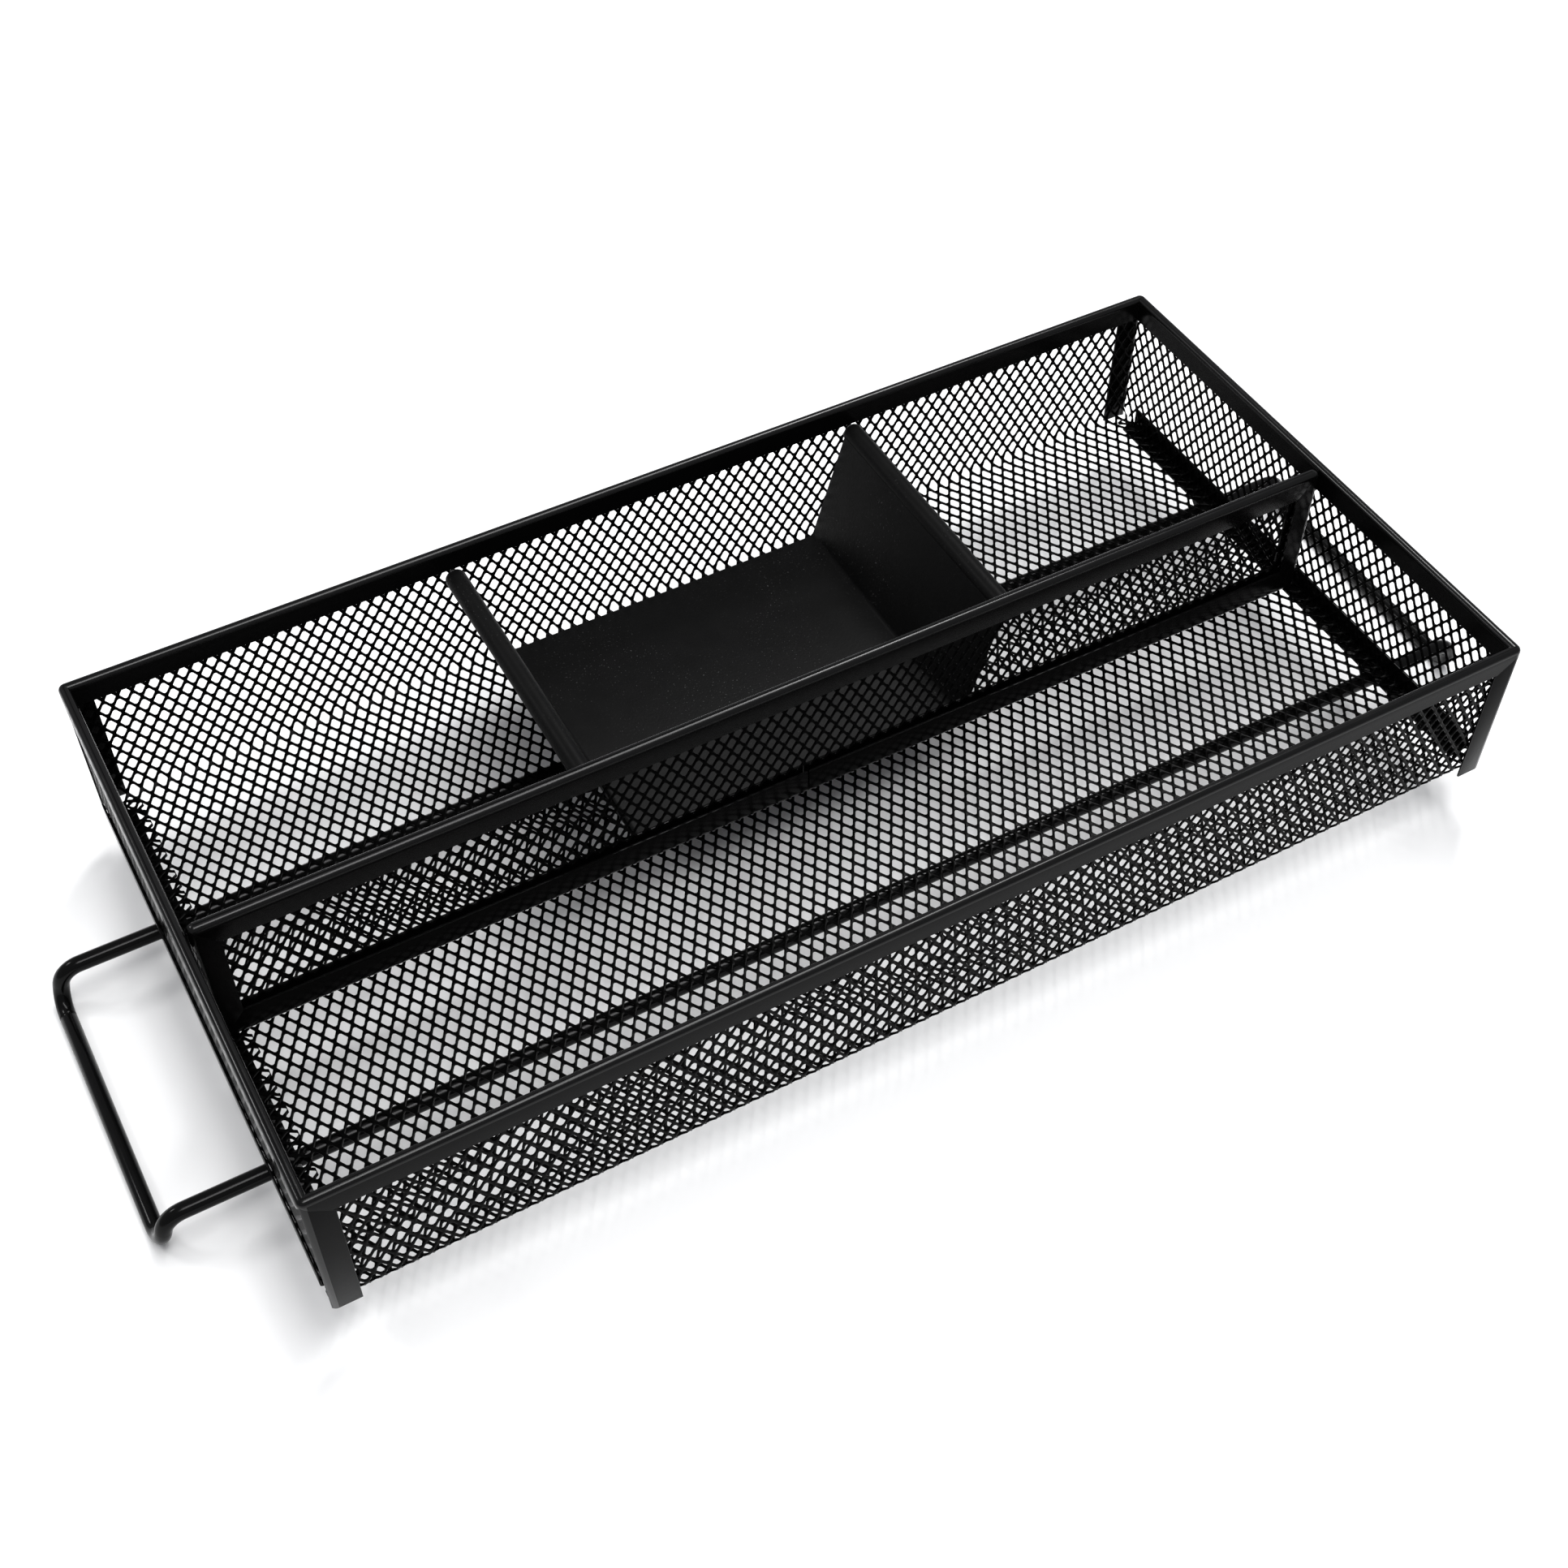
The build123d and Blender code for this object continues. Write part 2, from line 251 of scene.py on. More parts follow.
# %% [markdown]
# ## Powder coat
#
# The whole tray is sprayed with dry black powder and baked. Up close such a coat is not flat: it flows into
# a fine orange peel, is a little thicker and glossier in some spots, and picks up dust. It could be one
# flat black, but the soft broken highlight on every edge is what makes it read as coated steel. So each
# coat has three layers of noise: a broad one for gloss, a fine one for the peel, and a sparse one for dust.
# Hands rub the bends and the cut edges of the strips, so these faces get a shinier coat of their own, and
# catch the light as thin lines.

# %% A coat for any piece
PATCH_SIZE, BLOTCH_SIZE, SPECK_SIZE = 26, 6.5, 0.55  # of the noises, in mm
PATCH_STOPS = [(0.40, 0.0), (0.72, 1.0)]  # where dust gathers
SPECK_STOPS = [(0.69, 0.0), (0.75, 1.0)]
PATCH_ROUGH, BLOTCH_ROUGH, DUST_ROUGH = 0.10, 0.08, 0.3
BLOTCH_HEIGHT, DUST_HEIGHT = 0.5, 0.6  # as shares of the peel's height
DARKEST, BLOTCH_SPAN = 0.8, 0.4  # of the pigment
DUST_GREY = 0.06


def powder_coat(name, black, gloss, peel, dust=0.0, peel_size=0.9, specular=0.3):
    """black: darkness of the pigment; gloss: roughness; peel: height of the orange peel in mm."""
    material = bpy.data.materials.new(name)
    material.use_nodes = True
    tree = material.node_tree
    shader = tree.nodes["Principled BSDF"]
    shader.inputs["Specular IOR Level"].default_value = specular
    place = Tone(tree, tree.nodes.new("ShaderNodeTexCoord").outputs["Object"])

    def noise(size_mm, detail=2.0, rough=0.5):
        return place.make(
            "ShaderNodeTexNoise", {"noise_dimensions": "3D"}, Vector=place, Scale=1 / (size_mm * MM),
            Detail=detail, Roughness=rough,
        )

    broad = noise(PATCH_SIZE, detail=3.0)
    fine = noise(peel_size, detail=3.0, rough=0.6)
    blotch = noise(BLOTCH_SIZE)
    specks = noise(SPECK_SIZE, detail=1.0)
    speckle = place.make("ShaderNodeValToRGB", {"stops": SPECK_STOPS}, Fac=specks)
    patchy = place.make("ShaderNodeValToRGB", {"stops": PATCH_STOPS}, Fac=broad)
    dusty = speckle * patchy * dust
    level = black * (DARKEST + BLOTCH_SPAN * blotch) + DUST_GREY * dusty
    tint = place.make("ShaderNodeCombineColor", {"mode": "RGB"}, Red=level, Green=level, Blue=level)
    tree.links.new(tint.socket, shader.inputs["Base Color"])
    rough = gloss + PATCH_ROUGH * (broad - 0.5) + BLOTCH_ROUGH * (blotch - 0.5) + DUST_ROUGH * dusty
    tree.links.new(rough.socket, shader.inputs["Roughness"])
    height = fine + BLOTCH_HEIGHT * blotch + DUST_HEIGHT * dusty
    bump = place.make("ShaderNodeBump", Height=height, Distance=peel * MM, Strength=1.0)
    tree.links.new(bump.socket, shader.inputs["Normal"])
    return material


COAT = powder_coat("satin_powder_coat", black=0.002, gloss=0.2, peel=0.012, specular=0.042)
MESH_COAT = powder_coat("mesh_powder_coat", black=0.001, gloss=0.2, peel=0.012, peel_size=0.7, specular=0.02)
WIRE_COAT = powder_coat("wire_powder_coat", black=0.002, gloss=0.16, peel=0.012, specular=0.10)
INSERT_COAT = powder_coat("matt_powder_coat", black=0.0042, gloss=0.42, peel=0.05, dust=1.0, specular=0.04)
RUBBED_COAT = powder_coat("rubbed_powder_coat", black=0.002, gloss=0.2, peel=0.012, specular=0.2)
print("coats made:", [m.name for m in (COAT, MESH_COAT, WIRE_COAT, INSERT_COAT, RUBBED_COAT)])


# %% Rub the bends
FLAT = 0.999  # a face that points this nearly along one axis is flat, and keeps the satin coat


def rub_bends(piece):
    """Give the bends and the cut edges of a folded strip the coat that hands have rubbed to a shine."""
    piece.data.materials.append(RUBBED_COAT)
    bent = [face for face in piece.data.polygons if max(abs(part) for part in face.normal) < FLAT]
    for face in bent:
        face.material_index = 1
    print(f"{piece.name}: {len(bent)} of {len(piece.data.polygons)} faces rubbed")


# %% [markdown]
# ## One diamond of expanded mesh
#
# Expanded metal starts as a solid sheet that is slit and pulled until each slit opens into a diamond. The
# strands are narrow, the bonds where they meet are wider, and the coat rounds the corners of every hole. A
# picture of diamonds with an alpha mask would look flat from the side, so the strands are real. One cell is
# a rhombus with a hole: twelve points round the hole, twelve on the rim of the cell, bridged into a ring.
# The strand's middle is its thickest part, so the ring is raised there, and smooth shading makes a rounded
# strand of a few faces.

# %% Sizes of the mesh
PITCH_SHORT = 4.07 * MM
PITCH_LONG = 6.66 * MM
STRAND = 0.72 * MM
STRAND_THICK = 0.62 * MM
STRAND_EDGE = 0.34 * MM  # thickness left at the edge of a hole
HOLE_ROUND = 0.55 * MM
RIM_SHARES = (0.0, 0.3, 0.7)  # where the points sit along each side of a cell
CELL_MERGE = 0.01 * MM


def hole_outline():
    """Twelve points round a diamond with rounded corners, counted from its right corner."""
    half_x, half_y = PITCH_SHORT / 2, PITCH_LONG / 2
    slope = math.hypot(half_x, half_y)
    shrink = 1 - STRAND / 2 * slope / (half_x * half_y)
    tip_x, tip_y = half_x * shrink, half_y * shrink
    lean = math.atan2(tip_y, tip_x)
    to_side = HOLE_ROUND / math.tan(lean) / slope
    to_top = HOLE_ROUND * math.tan(lean) / slope
    quarter = [
        (tip_x - HOLE_ROUND * (1 / math.sin(lean) - 1), 0.0),
        (tip_x - half_x * to_side, half_y * to_side),
        (half_x * to_top, tip_y - half_y * to_top),
    ]
    top = (0.0, tip_y - HOLE_ROUND * (1 / math.cos(lean) - 1))
    right_up = quarter + [top]
    left_up = [(-x, y) for x, y in reversed(right_up[1:3])] + [(-quarter[0][0], 0.0)]
    upper = right_up + left_up
    return upper + [(x, -y) for x, y in reversed(upper[1:-1])]


def cell_outline():
    """Twelve points on the rhombus round a hole, in the same order."""
    half_x, half_y = PITCH_SHORT / 2, PITCH_LONG / 2
    corners = [(half_x, 0.0), (0.0, half_y), (-half_x, 0.0), (0.0, -half_y)]
    points = []
    for start, end in zip(corners, corners[1:] + corners[:1]):
        for share in RIM_SHARES:
            points.append(tuple(a + (b - a) * share for a, b in zip(start, end)))
    return points


print("hole:", [tuple(round(c / MM, 2) for c in point) for point in hole_outline()[:4]])


# %% One cell as a ring of faces
def ring_edges(bm, outline, height):
    verts = [bm.verts.new((x, y, height)) for x, y in outline]
    return [bm.edges.new(pair) for pair in zip(verts, verts[1:] + verts[:1])]


def new_cell():
    bm = bmesh.new()
    loops = [
        ring_edges(bm, cell_outline(), STRAND_THICK / 2),
        ring_edges(bm, hole_outline(), STRAND_EDGE / 2),
        ring_edges(bm, hole_outline(), -STRAND_EDGE / 2),
        ring_edges(bm, cell_outline(), -STRAND_THICK / 2),
    ]
    for upper, lower in zip(loops, loops[1:]):
        bmesh.ops.bridge_loops(bm, edges=upper + lower)
    bmesh.ops.recalc_face_normals(bm, faces=bm.faces)
    top = max(bm.faces, key=lambda face: face.calc_center_median().z)
    if top.normal.z < 0:
        bmesh.ops.reverse_faces(bm, faces=bm.faces)
    return bm


sample = new_cell()
print("faces in one cell:", len(sample.faces))
sample.free()


# %% [markdown]
# ## A whole sheet of mesh
#
# The cell is copied along a row, the row is copied up the sheet, and each second row is shifted by half a
# diamond, as the slits are. Doubling what is already there keeps the number of copy steps small. The sheet
# is laid flat and made two cells wider and higher than asked, so that it hangs over on every side, and is
# then trimmed with four straight cuts. That is how a shear leaves it: cut strands all along the edge.

# %% Copy a cell over a sheet
def grow(bm, step, count):
    """Repeat everything in bm count times along the vector step, by doubling."""
    total = 1
    unit = bm.faces[:] + bm.edges[:] + bm.verts[:]
    while total < count:
        extra = min(total, count - total)
        if extra < total:
            limit = Vector(step) * (extra - 0.5)
            source = [f for f in bm.faces if f.calc_center_median().dot(step) < limit.dot(step)]
            unit = list(dict.fromkeys(part for face in source for part in (face, *face.edges, *face.verts)))
        copied = bmesh.ops.duplicate(bm, geom=unit)["geom"]
        moved = [v for v in copied if isinstance(v, bmesh.types.BMVert)]
        bmesh.ops.translate(bm, verts=moved, vec=Vector(step) * total)
        total += extra
        unit = bm.faces[:] + bm.edges[:] + bm.verts[:]


def mesh_sheet(width, height, phase=(0.0, 0.0)):
    """A flat sheet with its corner at the origin: short diagonals along X, long ones along Y."""
    bm = new_cell()
    half = Vector((PITCH_SHORT / 2, PITCH_LONG / 2, 0))
    copied = bmesh.ops.duplicate(bm, geom=bm.faces[:] + bm.edges[:] + bm.verts[:])["geom"]
    bmesh.ops.translate(bm, verts=[v for v in copied if isinstance(v, bmesh.types.BMVert)], vec=half)
    grow(bm, (PITCH_SHORT, 0, 0), math.ceil(width / PITCH_SHORT) + 2)
    grow(bm, (0, PITCH_LONG, 0), math.ceil(height / PITCH_LONG) + 2)
    bmesh.ops.remove_doubles(bm, verts=bm.verts, dist=CELL_MERGE)
    shift = Vector((-PITCH_SHORT * (1 + phase[0]), -PITCH_LONG * (1 + phase[1]), 0))
    bmesh.ops.translate(bm, verts=bm.verts, vec=shift)
    cut(bm, (0, 0, 0), (-1, 0, 0))
    cut(bm, (width, 0, 0), (1, 0, 0))
    cut(bm, (0, 0, 0), (0, -1, 0))
    cut(bm, (0, height, 0), (0, 1, 0))
    return bm


def close_cut_ends(bm):
    """Cap the strands that the shear went through."""
    open_edges = [e for e in bm.edges if len(e.link_faces) == 1]
    bmesh.ops.holes_fill(bm, edges=open_edges, sides=0)


# %% [markdown]
# ## The mesh trough
#
# The front wall, the floor and the back wall are one sheet, bent twice. Making three flat sheets would
# leave a hard seam at each bend, where the real diamonds run round it without a break. So the sheet is made
# flat at its unrolled length and then wrapped round the trough's section: each point keeps its distance
# along the sheet and its height over it. To keep each piece light, the sheet is made in four strips whose
# diamonds run on from one to the next: two of them meet under the divider's bottom rail, and the others
# where the walls' bends end.

# %% The trough's section and how far each point of the sheet goes round it
trough_low, trough_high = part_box("mesh_trough")
divider_low, divider_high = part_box("divider_top_rail")
floor_low = trough_low.z
MESH_MIDDLE = 0.5 * MM  # from the outside of a wall to the middle of its mesh
OUTER_BEND = 3.4 * MM  # radius on the outside of the trough
BEND = OUTER_BEND - MESH_MIDDLE
front_y = trough_low.y + MESH_MIDDLE
back_y = trough_high.y - MESH_MIDDLE
bottom_z = floor_low + MESH_MIDDLE
wall_run = trough_high.z - bottom_z - BEND
bend_run = BEND * math.pi / 2
floor_run = back_y - front_y - 2 * BEND


def trough_point(along, height):
    """Where a point of the flat sheet ends up, with height measured towards the inside."""
    if along < wall_run:
        return front_y + height, trough_high.z - along
    along -= wall_run
    if along < bend_run:
        angle = along / BEND
        reach = BEND - height
        return front_y + BEND - reach * math.cos(angle), bottom_z + BEND - reach * math.sin(angle)
    along -= bend_run
    if along < floor_run:
        return front_y + BEND + along, bottom_z + height
    along -= floor_run
    if along < bend_run:
        angle = along / BEND
        reach = BEND - height
        return back_y - BEND + reach * math.sin(angle), bottom_z + BEND - reach * math.cos(angle)
    along -= bend_run
    return back_y - height, bottom_z + BEND + along


sheet_run = 2 * wall_run + 2 * bend_run + floor_run
print("unrolled sheet:", round(sheet_run / MM, 1), "mm")

# %% Make the four strips
SIDE_PHASE, TROUGH_PHASE = 0.2, 0.35  # where the shear cut the first diamonds
divider_middle = (divider_low.y + divider_high.y) / 2
front_end = wall_run + bend_run
middle = front_end + divider_middle - front_y - BEND
back_start = sheet_run - front_end
strips = {
    "mesh_front_wall": (0.0, front_end),
    "mesh_floor_front": (front_end, middle),
    "mesh_floor_back": (middle, back_start),
    "mesh_back_wall": (back_start, sheet_run),
}
for name, (start, end) in strips.items():
    before = start / PITCH_LONG + TROUGH_PHASE
    phase = (SIDE_PHASE, before - math.floor(before))
    flat = mesh_sheet(trough_high.x - trough_low.x, end - start, phase)
    close_cut_ends(flat)
    for vert in flat.verts:
        y, z = trough_point(start + vert.co.y, vert.co.z)
        vert.co = (trough_low.x + vert.co.x, y, z)
    stands_for = ("mesh_trough",) if start == 0.0 else ()
    finish_piece(flat, name, "tray", MESH_COAT, stands_for)


# %% [markdown]
# ## The end meshes
#
# Each end wall is its own sheet, folded once so that a flange lies on the floor, where it is spot welded.
# The cut edge of that flange is left raw: a row of short strand ends. The sheet is wrapped round its fold
# in the same way as the trough, with a tight radius. The flange stops short of the trough's round bends, so
# that it lies on flat floor only.

# %% Wrap the end sheets
END_FOLD = 1.2 * MM
FLANGE_START = 0.2 * END_FOLD  # this far into the fold, faces count as the flange
END_PHASES = {"left": (0.6, 0.1), "right": (0.6, 0.45)}


def end_point(along, height, wall_x, top_z, floor_z, side):
    """A point of an end sheet: down the wall, round the fold and inwards over the floor."""
    down = top_z - floor_z - END_FOLD
    turn = END_FOLD * math.pi / 2
    if along < down:
        return wall_x - side * height, top_z - along
    along -= down
    if along < turn:
        angle = along / END_FOLD
        reach = END_FOLD - height
        inner = END_FOLD - reach * math.cos(angle)
        return wall_x - side * inner, floor_z + END_FOLD - reach * math.sin(angle)
    along -= turn
    return wall_x - side * (END_FOLD + along), floor_z + height


for side, end in ((-1, "left"), (1, "right")):
    low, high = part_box(f"end_mesh_{end}")
    wall_x = low.x + MESH_MIDDLE if side < 0 else high.x - MESH_MIDDLE
    floor_z = trough_low.z + 3 * MESH_MIDDLE
    flange = high.x - low.x - MESH_MIDDLE
    run = high.z - floor_z - END_FOLD + END_FOLD * math.pi / 2 + flange - END_FOLD
    end_mesh = mesh_sheet(high.y - low.y, run, END_PHASES[end])
    down = high.z - floor_z - END_FOLD
    for vert in end_mesh.verts:
        vert.co.x += low.y
    flat_half = (high.y - low.y) / 2 - BEND - MESH_MIDDLE
    for edge_side in (-1, 1):
        floor_faces = [f for f in end_mesh.faces if f.calc_center_median().y > down + FLANGE_START]
        cut(end_mesh, (edge_side * flat_half, 0, 0), (edge_side, 0, 0), faces=floor_faces)
    close_cut_ends(end_mesh)
    for vert in end_mesh.verts:
        x, z = end_point(vert.co.y, vert.co.z, wall_x, high.z, floor_z, side)
        vert.co = (x, vert.co.x, z)
    finish_piece(end_mesh, f"mesh_end_{end}", "tray", MESH_COAT, (f"end_mesh_{end}",))


# %% [markdown]
# ## The divider's mesh
#
# A flat panel of the same mesh, standing upright in the divider's channel frame with its long diagonals
# vertical.

# %% The divider panel
low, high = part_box("divider_mesh")
DIVIDER_PHASE = (0.4, 0.3)
panel = mesh_sheet(high.x - low.x, high.z - low.z, DIVIDER_PHASE)
close_cut_ends(panel)
bmesh.ops.rotate(panel, verts=panel.verts, cent=(0, 0, 0), matrix=Matrix.Rotation(math.pi / 2, 3, "X"))
bmesh.ops.translate(panel, verts=panel.verts, vec=(low.x, (low.y + high.y) / 2, low.z))
finish_piece(panel, "mesh_divider", "tray", MESH_COAT, ("divider_mesh",))


# %% [markdown]
# ## Rounding the corners of folded strips
#
# The rim, the corner posts and the divider's frame all turn a square corner whose outside is a small arc. A
# bevel can't make it, because each strip ends at a mitre in the very middle of the corner. So the strip is
# made with a square corner and a few loops near it, and every square ring of points round the corner is
# pulled onto a circle.

# %% Score loops beside a corner and pull them round
STRIP = 0.6 * MM
CORNER_ROUND = 2.0 * MM
ARC_STEPS = 6


def score_corners(bm, axis, middle, half, sides=(-1, 1)):
    """Loops across a strip near its ends along one axis, so that its corners have points to round."""
    normal = Vector([float(i == axis) for i in range(3)])
    for side in sides:
        for step in range(ARC_STEPS):
            reach = half - CORNER_ROUND * (1 - step / ARC_STEPS)
            score(bm, normal * (middle + side * reach), normal)


def round_corners(bm, axes, middles, halves):
    """Pull the points in the corners of a rectangle onto circles, in the plane of two axes."""
    for vert in bm.verts:
        across = [vert.co[a] - m for a, m in zip(axes, middles)]
        past = [abs(c) - (half - CORNER_ROUND) for c, half in zip(across, halves)]
        if min(past) <= 0:
            continue
        pull_in = max(past) / math.hypot(*past)
        for a, m, c, half, over in zip(axes, middles, across, halves, past):
            vert.co[a] = m + math.copysign(half - CORNER_ROUND + over * pull_in, c)


# %% [markdown]
# ## Folded channels
#
# The rim and the divider's frame are the same thing: a thin strip folded into a channel that grips the edge
# of the mesh. A channel is described by where its back runs, which way the back faces and how deep its
# flanges are. Its ends are cut by planes, so that the pieces meet in mitres with a hairline between them,
# as on the real tray.

# %% Fold a channel
def channel(start, run, out, width, depths, fold, ends, flange_cuts=()):
    """start: middle of the back; run: along it; out: the way the back faces; depths: of the two flanges."""
    across = run.normalized().cross(out)
    section = [
        start - across * width / 2 - out * depths[0],
        start - across * width / 2,
        start + across * width / 2,
        start + across * width / 2 - out * depths[1],
    ]
    bm = new_sheet(section, run)
    round_folds(bm, folds(bm), fold)
    for point, away, face_way in flange_cuts:
        bm.normal_update()
        level = (start + face_way * width / 2).dot(face_way)
        facing = [f for f in bm.faces if abs(f.normal.dot(face_way)) > 0.99]
        flange = [f for f in facing if abs(f.calc_center_median().dot(face_way) - level) < STRIP / 6]
        cut(bm, point, away, faces=flange)
    for point, away in ends:
        cut(bm, point, away)
    thicken(bm, STRIP, start + run / 2 - out * max(depths))
    return bm


# %% [markdown]
# ## The folded rim
#
# Each side of the rim is a channel turned upside down over the mesh's top edge. Its outer flange is cut
# slantwise where it meets the corner post, and its ends are cut at 45 degrees where it meets the next side.
# The outer flanges of the two end rims are pressed against the strands behind them, which leaves a row of
# dents.

# %% Fold the four sides of the rim
RIM_FOLD = 1.4 * MM
MITRE_GAP = 0.03 * MM
HAIRLINE = 0.04 * MM
DENT_LEVELS = (0.8 * MM, 1.4 * MM, 2.0 * MM, 2.8 * MM, 3.6 * MM, 4.8 * MM)  # below the top of the rim
DENT_STEPS = 6  # loops for each dent
OUTER_SKIN = 0.35 * MM  # points nearer than this to the outside are on the outer skin
DENT_DEPTH = 0.38 * MM
SIDE_LEG, END_LEG = 8 * MM, 7 * MM  # legs of a corner post on a long wall and on an end wall
rim_low, rim_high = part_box("rim_front")
post_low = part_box("corner_post_front_left")[0]
half_length, half_width = -post_low.x, -post_low.y
rim_top = rim_high.z
rim_width = rim_high.y - rim_low.y
outer_flange = rim_high.z - rim_low.z
FLANGE_STEP = 0.5 * MM  # the inner flange is this much shorter
inner_flange = outer_flange - FLANGE_STEP


def press_dents(bm, side):
    """Press the outer flange of an end rim onto the strands behind it, for a row of dents."""
    for level in DENT_LEVELS:
        score(bm, (0, 0, rim_top - level), (0, 0, 1))
    steps = int(2 * half_width / (PITCH_SHORT / DENT_STEPS))
    for step in range(1, steps):
        score(bm, (0, -half_width + step * PITCH_SHORT / DENT_STEPS, 0), (0, 1, 0))
    for vert in bm.verts:
        down = (rim_top - vert.co.z - DENT_LEVELS[0]) / (DENT_LEVELS[-1] - DENT_LEVELS[0])
        near_corner = half_width - abs(vert.co.y) < END_LEG
        if side * vert.co.x < half_length - OUTER_SKIN or not 0 < down < 1 or near_corner:
            continue
        wave = 0.5 - 0.5 * math.cos(2 * math.pi * vert.co.y / PITCH_SHORT)
        vert.co.x -= side * DENT_DEPTH * wave * math.sin(math.pi * down)


def rim_side(name, outward, half_along, half_across, leg):
    up = Vector((0, 0, 1))
    along = outward.cross(up)
    back = outward * (half_across - rim_width / 2) + up * rim_top
    flange_cuts, ends = [], []
    for end in (-1, 1):
        corner = along * end * half_along + outward * half_across + up * (rim_top - RIM_FOLD)
        slant = -along * end * leg - up * (outer_flange - RIM_FOLD)
        away = slant.cross(outward).normalized()
        away *= math.copysign(1, away.dot(along * end))
        flange_cuts.append((corner - away * MITRE_GAP, away, outward))
        tip = along * end * (half_along - HAIRLINE) + outward * half_across
        ends.append((tip, (along * end - outward).normalized()))
    bm = channel(
        back - along * half_along, along * 2 * half_along, up, rim_width, (inner_flange, outer_flange),
        RIM_FOLD, ends, flange_cuts,
    )
    axis = 0 if abs(along.x) > 0.5 else 1
    score_corners(bm, axis, 0, half_along)
    ease_edges(bm)
    round_corners(bm, (0, 1), (0, 0), (half_length, half_width))
    if axis == 1:
        press_dents(bm, outward.x)
    rub_bends(finish_piece(bm, name + "_strip", "tray", COAT, (name,)))


rim_side("rim_front", Vector((0, -1, 0)), half_length, half_width, SIDE_LEG)
rim_side("rim_back", Vector((0, 1, 0)), half_length, half_width, SIDE_LEG)
rim_side("rim_left", Vector((-1, 0, 0)), half_width, half_length, END_LEG)
rim_side("rim_right", Vector((1, 0, 0)), half_width, half_length, END_LEG)


# %% [markdown]
# ## Corner posts and end strips
#
# A post is a strip folded once, standing up each corner. Its top is cut to the same slant as the rim's
# flange. The end strips close the bottom edge of each end wall and turn in under the floor, where the wire
# is welded to them.

# %% Fold the posts
POST_FOOT_GAP = 0.1 * MM
for side_x, end in ((-1, "left"), (1, "right")):
    for side_y, long in ((-1, "front"), (1, "back")):
        name = f"corner_post_{long}_{end}"
        foot = floor_low - STRIP + POST_FOOT_GAP
        corner = Vector((side_x * half_length, side_y * half_width, foot))
        legs = ((SIDE_LEG, Vector((-side_x, 0, 0))), (END_LEG, Vector((0, -side_y, 0))))
        plan = [corner + legs[0][1] * SIDE_LEG, corner, corner + legs[1][1] * END_LEG]
        post = new_sheet(plan, (0, 0, rim_top - foot))
        for leg, inward in legs:
            top = corner + Vector((0, 0, rim_top - RIM_FOLD - MITRE_GAP - foot))
            slant = inward * leg - Vector((0, 0, outer_flange - RIM_FOLD))
            away = Vector((0, 0, 1)) - slant * slant.z / slant.length_squared
            post.normal_update()
            wall = [f for f in post.faces if abs(f.normal.dot(inward)) < 0.01]
            cut(post, top, away, faces=wall)
        thicken(post, STRIP, (0, 0, 0))
        score_corners(post, 0, 0, half_length, sides=(side_x,))
        score_corners(post, 1, 0, half_width, sides=(side_y,))
        ease_edges(post)
        round_corners(post, (0, 1), (0, 0), (half_length, half_width))
        rub_bends(finish_piece(post, name + "_strip", "tray", COAT, (name,)))

# %% Fold the end strips
END_STRIP_FOLD = 1.0 * MM
for side, end in ((-1, "left"), (1, "right")):
    low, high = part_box(f"end_strip_{end}")
    outer, inner = (low.x, high.x) if side < 0 else (high.x, low.x)
    profile = [(outer, low.y, high.z), (outer, low.y, low.z), (inner, low.y, low.z)]
    strip = new_sheet(profile, (0, high.y - low.y, 0))
    round_folds(strip, folds(strip), END_STRIP_FOLD)
    thicken(strip, STRIP, (0, 0, high.z))
    ease_edges(strip)
    stands_for = (f"end_strip_{end}",)
    rub_bends(finish_piece(strip, f"end_strip_{end}_fold", "tray", COAT, stands_for))


# %% [markdown]
# ## The divider's frame
#
# The long divider's mesh is held in one long strip folded into a channel and bent round all four sides. Its
# ends meet in the bottom rail, near the middle, where a thin seam stays open. The corners are mitred and
# rounded.

# %% Fold the divider's frame
RAIL_FOLD = 1.5 * MM
DIVIDER_POST = 7 * MM
frame_low = Vector((divider_low.x, divider_low.y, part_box("divider_bottom_rail_left")[0].z))
frame_high = Vector(divider_high)
frame_y = (frame_low.y + frame_high.y) / 2
frame_width = frame_high.y - frame_low.y
top_rail = divider_high.z - divider_low.z
bottom_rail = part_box("divider_bottom_rail_left")[1].z - frame_low.z
seam_left, seam_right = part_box("divider_bottom_rail_left")[1].x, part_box("divider_bottom_rail_right")[0].x
half_frame = (frame_high.x - frame_low.x) / 2
frame_middle = ((frame_high.x + frame_low.x) / 2, (frame_high.z + frame_low.z) / 2)
RIGHT, UP = Vector((1, 0, 0)), Vector((0, 0, 1))


def frame_corner(side, top):
    """A corner of the divider's frame, and the direction of its mitre."""
    x = frame_high.x if side > 0 else frame_low.x
    corner = Vector((x, frame_y, frame_high.z if top else frame_low.z))
    slant = -side * RIGHT * DIVIDER_POST + (-UP * top_rail if top else UP * bottom_rail)
    return corner, slant


def mitre(side, top, of_rail):
    """The plane that cuts a rail or a post at a corner: a point and the way that is cut away."""
    corner, slant = frame_corner(side, top)
    away = slant.cross(Vector((0, 1, 0))).normalized()
    outwards = RIGHT * side if of_rail else (UP if top else -UP)
    away *= math.copysign(1, away.dot(outwards))
    return corner - away * HAIRLINE / 2, away


def divider_channel(name, start, run, out, depth, ends):
    bm = channel(start, run, out, frame_width, (depth, depth), RAIL_FOLD, ends)
    score_corners(bm, 0, frame_middle[0], half_frame)
    score_corners(bm, 2, frame_middle[1], (frame_high.z - frame_low.z) / 2)
    ease_edges(bm)
    round_corners(bm, (0, 2), frame_middle, (half_frame, (frame_high.z - frame_low.z) / 2))
    rub_bends(finish_piece(bm, name + "_fold", "tray", COAT, (name,)))


